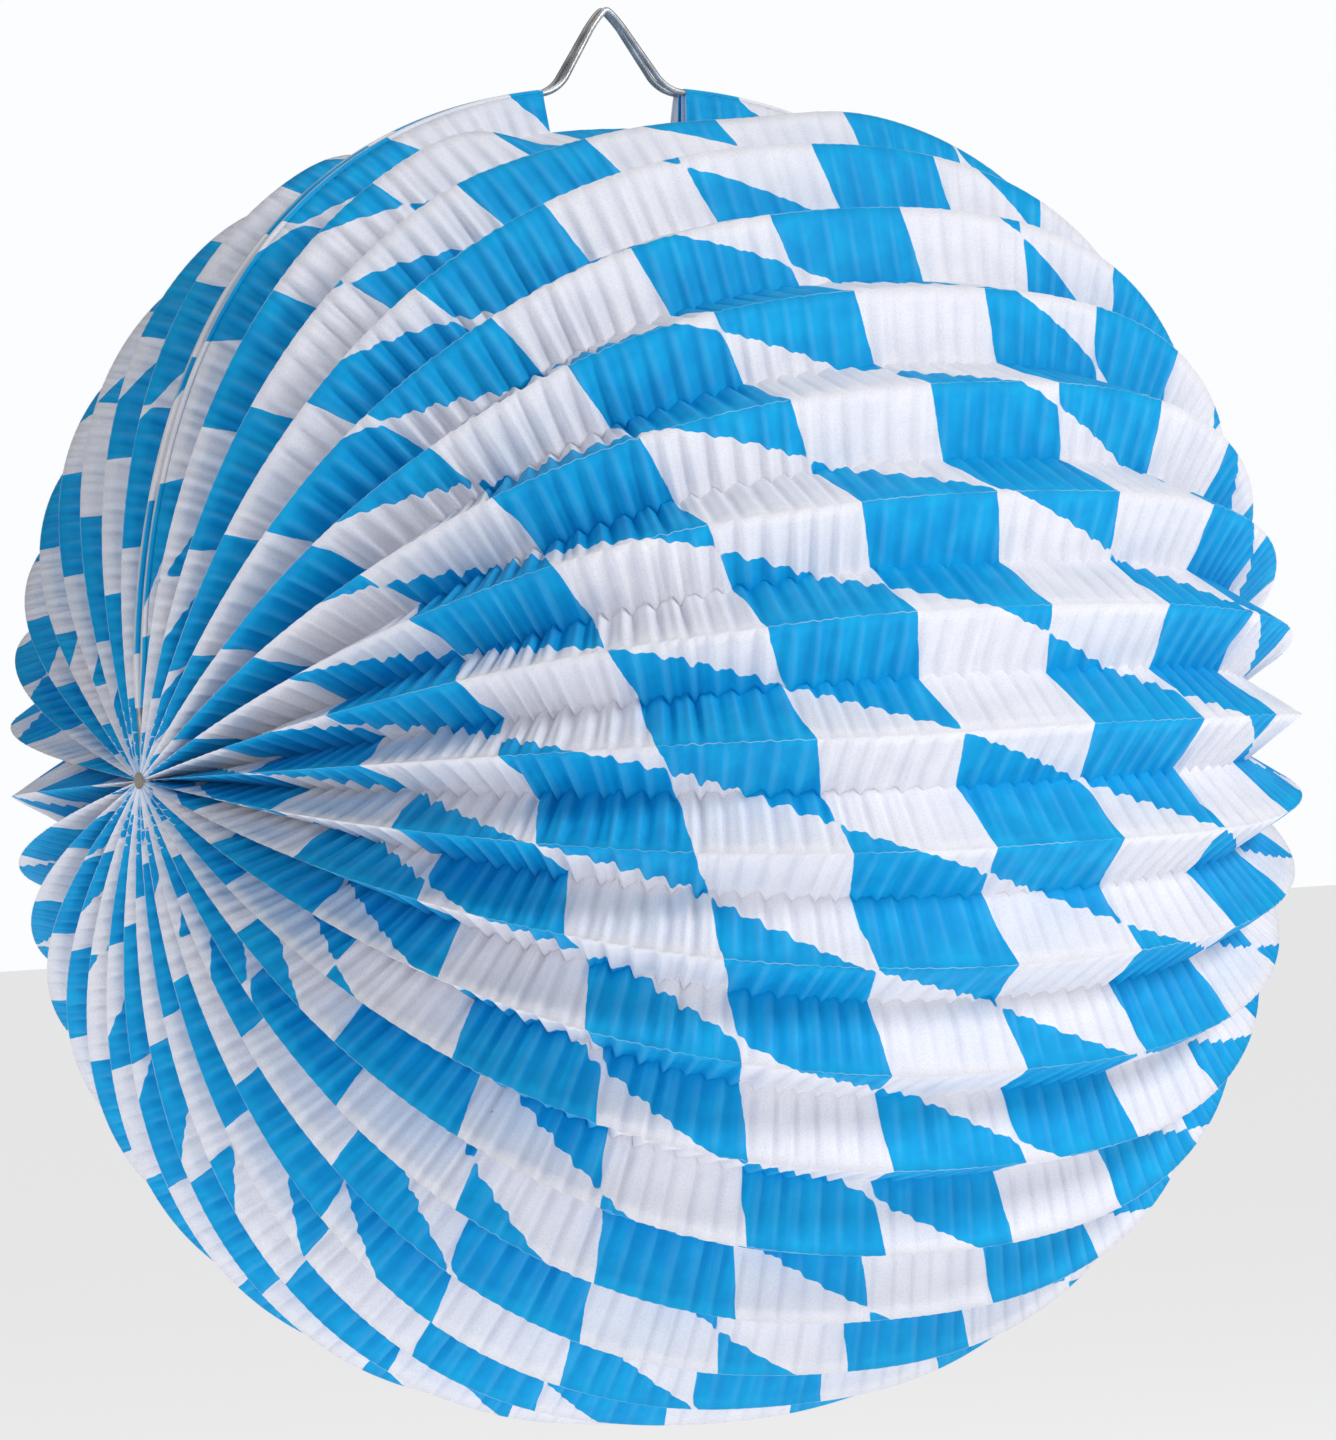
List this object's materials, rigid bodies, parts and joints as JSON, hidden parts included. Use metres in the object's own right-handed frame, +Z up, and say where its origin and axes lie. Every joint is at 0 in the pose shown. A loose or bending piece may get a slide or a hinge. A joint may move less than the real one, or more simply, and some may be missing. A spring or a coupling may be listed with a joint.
{
  "type": "accordion paper lantern",
  "caption": "Round lantern of pleated printed paper that folds flat like a fan about its two poles, hung by two peaked wire bows.",
  "frame": {"origin": "under side of the hanger's peak, where the hook or string carries the lantern, straight above the middle of the globe", "axes": "+X along the pole line, +Z straight up through the seam and the wire hanger, -Y the side of the front end fold"},
  "size_m": [0.2204, 0.25, 0.2641],
  "materials": {
    "printed_paper": "matt crimped paper printed with blue and white lozenges",
    "steel_wire": "drawn bright wire",
    "pin_steel": "dull tinned pin"
  },
  "bodies": {
    "front_frame": {"front_wire_bow": "steel_wire", "front_end_fold": "printed_paper", "left_pole_pin": "pin_steel", "right_pole_pin": "pin_steel"},
    "fold_01": {"pleat_01": "printed_paper"},
    "fold_02": {"pleat_02": "printed_paper"},
    "fold_03": {"pleat_03": "printed_paper"},
    "fold_04": {"pleat_04": "printed_paper"},
    "fold_05": {"pleat_05": "printed_paper"},
    "fold_06": {"pleat_06": "printed_paper"},
    "fold_07": {"pleat_07": "printed_paper"},
    "fold_08": {"pleat_08": "printed_paper"},
    "fold_09": {"pleat_09": "printed_paper"},
    "fold_10": {"pleat_10": "printed_paper"},
    "fold_11": {"pleat_11": "printed_paper"},
    "fold_12": {"pleat_12": "printed_paper"},
    "fold_13": {"pleat_13": "printed_paper"},
    "fold_14": {"pleat_14": "printed_paper"},
    "fold_15": {"pleat_15": "printed_paper"},
    "fold_16": {"pleat_16": "printed_paper"},
    "fold_17": {"pleat_17": "printed_paper"},
    "fold_18": {"pleat_18": "printed_paper"},
    "fold_19": {"pleat_19": "printed_paper"},
    "fold_20": {"pleat_20": "printed_paper"},
    "fold_21": {"pleat_21": "printed_paper"},
    "fold_22": {"pleat_22": "printed_paper"},
    "fold_23": {"pleat_23": "printed_paper"},
    "fold_24": {"pleat_24": "printed_paper"},
    "fold_25": {"pleat_25": "printed_paper"},
    "fold_26": {"pleat_26": "printed_paper"},
    "fold_27": {"pleat_27": "printed_paper"},
    "fold_28": {"pleat_28": "printed_paper"},
    "fold_29": {"pleat_29": "printed_paper"},
    "fold_30": {"pleat_30": "printed_paper"},
    "fold_31": {"pleat_31": "printed_paper"},
    "fold_32": {"pleat_32": "printed_paper"},
    "fold_33": {"pleat_33": "printed_paper"},
    "fold_34": {"pleat_34": "printed_paper"},
    "fold_35": {"pleat_35": "printed_paper"},
    "fold_36": {"pleat_36": "printed_paper"},
    "rear_frame": {"rear_wire_bow": "steel_wire", "rear_end_fold": "printed_paper"}
  },
  "joints": [
    {"name": "fan_01", "type": "hinge", "parent": "front_frame", "child": "fold_01", "pos_m": [0, 0, -0.1383], "axis": [-1, 0, 0], "range_deg": [0, 5.92], "deforming": ["front_end_fold", "pleat_01"]},
    {"name": "fan_02", "type": "hinge", "parent": "fold_01", "child": "fold_02", "pos_m": [0, 0, -0.1383], "axis": [-1, 0, 0], "range_deg": [0, 9.62], "deforming": ["pleat_02"]},
    {"name": "fan_03", "type": "hinge", "parent": "fold_02", "child": "fold_03", "pos_m": [0, 0, -0.1383], "axis": [-1, 0, 0], "range_deg": [0, 9.59], "deforming": ["pleat_03"]},
    {"name": "fan_04", "type": "hinge", "parent": "fold_03", "child": "fold_04", "pos_m": [0, 0, -0.1383], "axis": [-1, 0, 0], "range_deg": [0, 9.56], "deforming": ["pleat_04"]},
    {"name": "fan_05", "type": "hinge", "parent": "fold_04", "child": "fold_05", "pos_m": [0, 0, -0.1383], "axis": [-1, 0, 0], "range_deg": [0, 9.51], "deforming": ["pleat_05"]},
    {"name": "fan_06", "type": "hinge", "parent": "fold_05", "child": "fold_06", "pos_m": [0, 0, -0.1383], "axis": [-1, 0, 0], "range_deg": [0, 9.46], "deforming": ["pleat_06"]},
    {"name": "fan_07", "type": "hinge", "parent": "fold_06", "child": "fold_07", "pos_m": [0, 0, -0.1383], "axis": [-1, 0, 0], "range_deg": [0, 9.4], "deforming": ["pleat_07"]},
    {"name": "fan_08", "type": "hinge", "parent": "fold_07", "child": "fold_08", "pos_m": [0, 0, -0.1383], "axis": [-1, 0, 0], "range_deg": [0, 9.33], "deforming": ["pleat_08"]},
    {"name": "fan_09", "type": "hinge", "parent": "fold_08", "child": "fold_09", "pos_m": [0, 0, -0.1383], "axis": [-1, 0, 0], "range_deg": [0, 9.26], "deforming": ["pleat_09"]},
    {"name": "fan_10", "type": "hinge", "parent": "fold_09", "child": "fold_10", "pos_m": [0, 0, -0.1383], "axis": [-1, 0, 0], "range_deg": [0, 9.19], "deforming": ["pleat_10"]},
    {"name": "fan_11", "type": "hinge", "parent": "fold_10", "child": "fold_11", "pos_m": [0, 0, -0.1383], "axis": [-1, 0, 0], "range_deg": [0, 9.12], "deforming": ["pleat_11"]},
    {"name": "fan_12", "type": "hinge", "parent": "fold_11", "child": "fold_12", "pos_m": [0, 0, -0.1383], "axis": [-1, 0, 0], "range_deg": [0, 9.05], "deforming": ["pleat_12"]},
    {"name": "fan_13", "type": "hinge", "parent": "fold_12", "child": "fold_13", "pos_m": [0, 0, -0.1383], "axis": [-1, 0, 0], "range_deg": [0, 8.99], "deforming": ["pleat_13"]},
    {"name": "fan_14", "type": "hinge", "parent": "fold_13", "child": "fold_14", "pos_m": [0, 0, -0.1383], "axis": [-1, 0, 0], "range_deg": [0, 8.93], "deforming": ["pleat_14"]},
    {"name": "fan_15", "type": "hinge", "parent": "fold_14", "child": "fold_15", "pos_m": [0, 0, -0.1383], "axis": [-1, 0, 0], "range_deg": [0, 8.88], "deforming": ["pleat_15"]},
    {"name": "fan_16", "type": "hinge", "parent": "fold_15", "child": "fold_16", "pos_m": [0, 0, -0.1383], "axis": [-1, 0, 0], "range_deg": [0, 8.84], "deforming": ["pleat_16"]},
    {"name": "fan_17", "type": "hinge", "parent": "fold_16", "child": "fold_17", "pos_m": [0, 0, -0.1383], "axis": [-1, 0, 0], "range_deg": [0, 8.81], "deforming": ["pleat_17"]},
    {"name": "fan_18", "type": "hinge", "parent": "fold_17", "child": "fold_18", "pos_m": [0, 0, -0.1383], "axis": [-1, 0, 0], "range_deg": [0, 8.79], "deforming": ["pleat_18"]},
    {"name": "fan_19", "type": "hinge", "parent": "fold_18", "child": "fold_19", "pos_m": [0, 0, -0.1383], "axis": [-1, 0, 0], "range_deg": [0, 8.78], "deforming": ["pleat_19"]},
    {"name": "fan_20", "type": "hinge", "parent": "fold_19", "child": "fold_20", "pos_m": [0, 0, -0.1383], "axis": [-1, 0, 0], "range_deg": [0, 8.79], "deforming": ["pleat_20"]},
    {"name": "fan_21", "type": "hinge", "parent": "fold_20", "child": "fold_21", "pos_m": [0, 0, -0.1383], "axis": [-1, 0, 0], "range_deg": [0, 8.81], "deforming": ["pleat_21"]},
    {"name": "fan_22", "type": "hinge", "parent": "fold_21", "child": "fold_22", "pos_m": [0, 0, -0.1383], "axis": [-1, 0, 0], "range_deg": [0, 8.84], "deforming": ["pleat_22"]},
    {"name": "fan_23", "type": "hinge", "parent": "fold_22", "child": "fold_23", "pos_m": [0, 0, -0.1383], "axis": [-1, 0, 0], "range_deg": [0, 8.88], "deforming": ["pleat_23"]},
    {"name": "fan_24", "type": "hinge", "parent": "fold_23", "child": "fold_24", "pos_m": [0, 0, -0.1383], "axis": [-1, 0, 0], "range_deg": [0, 8.92], "deforming": ["pleat_24"]},
    {"name": "fan_25", "type": "hinge", "parent": "fold_24", "child": "fold_25", "pos_m": [0, 0, -0.1383], "axis": [-1, 0, 0], "range_deg": [0, 8.98], "deforming": ["pleat_25"]},
    {"name": "fan_26", "type": "hinge", "parent": "fold_25", "child": "fold_26", "pos_m": [0, 0, -0.1383], "axis": [-1, 0, 0], "range_deg": [0, 9.04], "deforming": ["pleat_26"]},
    {"name": "fan_27", "type": "hinge", "parent": "fold_26", "child": "fold_27", "pos_m": [0, 0, -0.1383], "axis": [-1, 0, 0], "range_deg": [0, 9.11], "deforming": ["pleat_27"]},
    {"name": "fan_28", "type": "hinge", "parent": "fold_27", "child": "fold_28", "pos_m": [0, 0, -0.1383], "axis": [-1, 0, 0], "range_deg": [0, 9.18], "deforming": ["pleat_28"]},
    {"name": "fan_29", "type": "hinge", "parent": "fold_28", "child": "fold_29", "pos_m": [0, 0, -0.1383], "axis": [-1, 0, 0], "range_deg": [0, 9.25], "deforming": ["pleat_29"]},
    {"name": "fan_30", "type": "hinge", "parent": "fold_29", "child": "fold_30", "pos_m": [0, 0, -0.1383], "axis": [-1, 0, 0], "range_deg": [0, 9.32], "deforming": ["pleat_30"]},
    {"name": "fan_31", "type": "hinge", "parent": "fold_30", "child": "fold_31", "pos_m": [0, 0, -0.1383], "axis": [-1, 0, 0], "range_deg": [0, 9.39], "deforming": ["pleat_31"]},
    {"name": "fan_32", "type": "hinge", "parent": "fold_31", "child": "fold_32", "pos_m": [0, 0, -0.1383], "axis": [-1, 0, 0], "range_deg": [0, 9.45], "deforming": ["pleat_32"]},
    {"name": "fan_33", "type": "hinge", "parent": "fold_32", "child": "fold_33", "pos_m": [0, 0, -0.1383], "axis": [-1, 0, 0], "range_deg": [0, 9.51], "deforming": ["pleat_33"]},
    {"name": "fan_34", "type": "hinge", "parent": "fold_33", "child": "fold_34", "pos_m": [0, 0, -0.1383], "axis": [-1, 0, 0], "range_deg": [0, 9.55], "deforming": ["pleat_34"]},
    {"name": "fan_35", "type": "hinge", "parent": "fold_34", "child": "fold_35", "pos_m": [0, 0, -0.1383], "axis": [-1, 0, 0], "range_deg": [0, 9.59], "deforming": ["pleat_35"]},
    {"name": "fan_36", "type": "hinge", "parent": "fold_35", "child": "fold_36", "pos_m": [0, 0, -0.1383], "axis": [-1, 0, 0], "range_deg": [0, 9.61], "deforming": ["pleat_36"]},
    {"name": "fan_37", "type": "hinge", "parent": "fold_36", "child": "rear_frame", "pos_m": [0, 0, -0.1383], "axis": [-1, 0, 0], "range_deg": [0, 5.93], "deforming": ["rear_end_fold"]}
  ],
  "couplings": [
    {"joint": "fan_02", "follows": "fan_01", "ratio": 1.6231},
    {"joint": "fan_03", "follows": "fan_01", "ratio": 1.6191},
    {"joint": "fan_04", "follows": "fan_01", "ratio": 1.6132},
    {"joint": "fan_05", "follows": "fan_01", "ratio": 1.6057},
    {"joint": "fan_06", "follows": "fan_01", "ratio": 1.5966},
    {"joint": "fan_07", "follows": "fan_01", "ratio": 1.5864},
    {"joint": "fan_08", "follows": "fan_01", "ratio": 1.5752},
    {"joint": "fan_09", "follows": "fan_01", "ratio": 1.5634},
    {"joint": "fan_10", "follows": "fan_01", "ratio": 1.5514},
    {"joint": "fan_11", "follows": "fan_01", "ratio": 1.5394},
    {"joint": "fan_12", "follows": "fan_01", "ratio": 1.5278},
    {"joint": "fan_13", "follows": "fan_01", "ratio": 1.517},
    {"joint": "fan_14", "follows": "fan_01", "ratio": 1.5072},
    {"joint": "fan_15", "follows": "fan_01", "ratio": 1.4988},
    {"joint": "fan_16", "follows": "fan_01", "ratio": 1.492},
    {"joint": "fan_17", "follows": "fan_01", "ratio": 1.4869},
    {"joint": "fan_18", "follows": "fan_01", "ratio": 1.4837},
    {"joint": "fan_19", "follows": "fan_01", "ratio": 1.4826},
    {"joint": "fan_20", "follows": "fan_01", "ratio": 1.4835},
    {"joint": "fan_21", "follows": "fan_01", "ratio": 1.4864},
    {"joint": "fan_22", "follows": "fan_01", "ratio": 1.4912},
    {"joint": "fan_23", "follows": "fan_01", "ratio": 1.4979},
    {"joint": "fan_24", "follows": "fan_01", "ratio": 1.5061},
    {"joint": "fan_25", "follows": "fan_01", "ratio": 1.5157},
    {"joint": "fan_26", "follows": "fan_01", "ratio": 1.5264},
    {"joint": "fan_27", "follows": "fan_01", "ratio": 1.5379},
    {"joint": "fan_28", "follows": "fan_01", "ratio": 1.5499},
    {"joint": "fan_29", "follows": "fan_01", "ratio": 1.5619},
    {"joint": "fan_30", "follows": "fan_01", "ratio": 1.5738},
    {"joint": "fan_31", "follows": "fan_01", "ratio": 1.5851},
    {"joint": "fan_32", "follows": "fan_01", "ratio": 1.5954},
    {"joint": "fan_33", "follows": "fan_01", "ratio": 1.6046},
    {"joint": "fan_34", "follows": "fan_01", "ratio": 1.6124},
    {"joint": "fan_35", "follows": "fan_01", "ratio": 1.6185},
    {"joint": "fan_36", "follows": "fan_01", "ratio": 1.6227},
    {"joint": "fan_37", "follows": "fan_01", "ratio": 0.99986}
  ]
}
